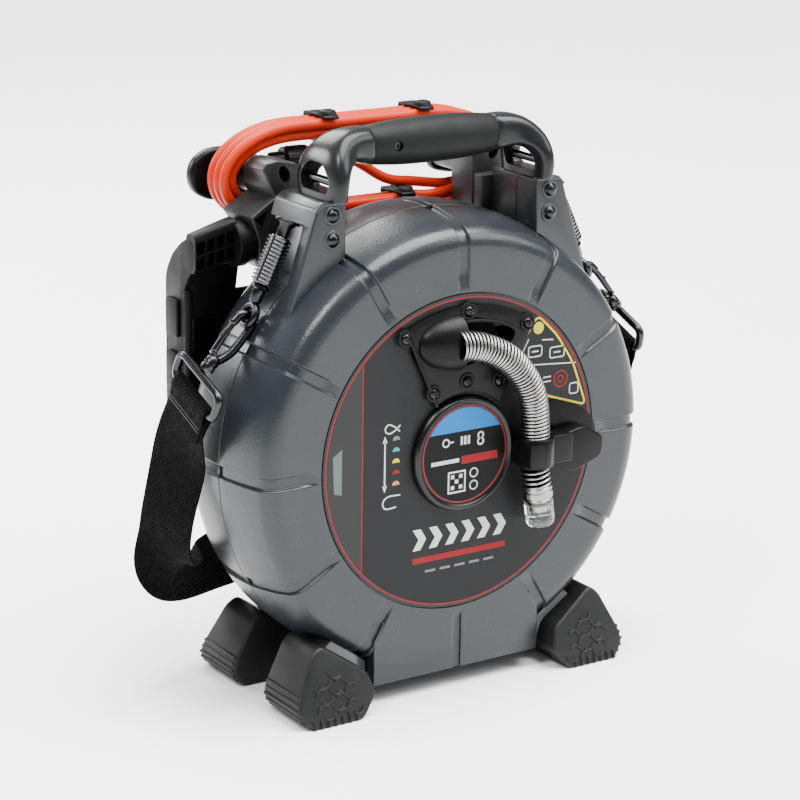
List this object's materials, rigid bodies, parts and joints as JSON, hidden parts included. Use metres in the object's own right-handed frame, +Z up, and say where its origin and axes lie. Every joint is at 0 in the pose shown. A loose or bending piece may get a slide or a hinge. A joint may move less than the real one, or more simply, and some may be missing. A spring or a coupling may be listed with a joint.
{
  "type": "drain inspection camera reel",
  "caption": "Portable drain inspection camera reel: a round drum case on rubber feet with a carrying handle, sprung camera head, folding monitor dock, wound cable and shoulder strap.",
  "frame": {"origin": "on the floor, at the middle of the part's width and depth, between the four feet", "axes": "+Z up; the front of the case, with the label and the camera head, faces -Y; +X is to the right as seen from the front"},
  "size_m": [0.4078, 0.2013, 0.4217],
  "materials": {
    "case_shell": "pebbled semi-gloss blue-grey",
    "label": "printed satin panel",
    "hub": "black gloss rim with a printed disc",
    "black_moulding": "black semi-gloss",
    "dark_moulding": "dark grey textured",
    "bright_steel": "bright steel",
    "copper_slip_ring": "plain",
    "push_cable_sheath": "smooth yellow sheath",
    "lens_cover": "clear",
    "light_ring": "white",
    "grip_rubber": "soft matt black",
    "foot_rubber": "moulded with a tread pattern",
    "webbing": "black twill webbing",
    "orange_sheath": "orange-red cable sheath"
  },
  "bodies": {
    "dock": {"monitor_dock": "black_moulding"},
    "drum": {"inner_drum": "dark_moulding", "push_cable_coil": "push_cable_sheath"},
    "sleeve_left": {"knurled_sleeve_left": "dark_moulding"},
    "gate_left": {"hook_gate_left": "bright_steel"},
    "sleeve_right": {"knurled_sleeve_right": "dark_moulding"},
    "gate_right": {"hook_gate_right": "bright_steel"},
    "case": {"anchor_post_left": "black_moulding", "anchor_post_right": "black_moulding", "bracket_bolt_lower_left": "bright_steel", "bracket_bolt_lower_right": "bright_steel", "bracket_bolt_upper_left": "bright_steel", "bracket_bolt_upper_right": "bright_steel", "bracket_left": "case_shell", "bracket_right": "case_shell", "cable_clip_left": "black_moulding", "cable_clip_lower": "black_moulding", "cable_clip_right": "black_moulding", "cable_gland": "black_moulding", "cable_guide": "black_moulding", "camera_clip": "black_moulding", "camera_head": "bright_steel", "camera_lens": "lens_cover", "camera_spring": "bright_steel", "cord_wrap_left": "dark_moulding", "cord_wrap_right": "dark_moulding", "drum_spindle": "bright_steel", "foot_front_left": "foot_rubber", "foot_front_right": "foot_rubber", "foot_rear_left": "foot_rubber", "foot_rear_right": "foot_rubber", "front_bearing": "bright_steel", "front_case": "case_shell", "grip_screw": "bright_steel", "handle": "dark_moulding", "handle_grip": "grip_rubber", "handle_pin_left": "bright_steel", "handle_pin_right": "bright_steel", "hub_cap": "hub", "label_panel": "label", "led_ring": "light_ring", "leg_left": "case_shell", "leg_right": "case_shell", "push_cable_lead": "push_cable_sheath", "rear_bearing": "bright_steel", "rear_case": "case_shell", "rear_hub_cover": "dark_moulding", "shoulder_strap": "webbing", "slip_ring": "copper_slip_ring", "snap_hook_left": "bright_steel", "snap_hook_right": "bright_steel", "strap_ring_left": "bright_steel", "strap_ring_right": "bright_steel", "system_cable_lead": "orange_sheath", "system_cable_tail": "orange_sheath", "system_cable_winding": "orange_sheath", "system_plug": "black_moulding", "wrap_flange_left": "black_moulding", "wrap_flange_right": "black_moulding"}
  },
  "joints": [
    {"name": "drum_spin", "type": "hinge", "parent": "case", "child": "drum", "pos_m": [0, -0.01525, 0.1824], "axis": [0, 1, 0], "continuous": true},
    {"name": "dock_tilt", "type": "hinge", "parent": "case", "child": "dock", "pos_m": [0, 0.04175, 0.3299], "axis": [1, 0, 0], "range_deg": [0, 60]},
    {"name": "sleeve_spin_left", "type": "hinge", "parent": "case", "child": "sleeve_left", "pos_m": [-0.1139, -0.01595, 0.3568], "axis": [-0.4384, 0, -0.8988], "continuous": true},
    {"name": "gate_swing_left", "type": "hinge", "parent": "case", "child": "gate_left", "pos_m": [-0.17473, -0.01595, 0.26862], "axis": [0, 1, 0], "range_deg": [0, 20], "stiffness_Nm_per_rad": 0.05, "springref_deg": -5.73},
    {"name": "sleeve_spin_right", "type": "hinge", "parent": "case", "child": "sleeve_right", "pos_m": [0.1139, -0.01595, 0.3568], "axis": [0.4384, 0, -0.8988], "continuous": true},
    {"name": "gate_swing_right", "type": "hinge", "parent": "case", "child": "gate_right", "pos_m": [0.17473, -0.01595, 0.26862], "axis": [0, -1, 0], "range_deg": [0, 20], "stiffness_Nm_per_rad": 0.05, "springref_deg": -5.73}
  ]
}
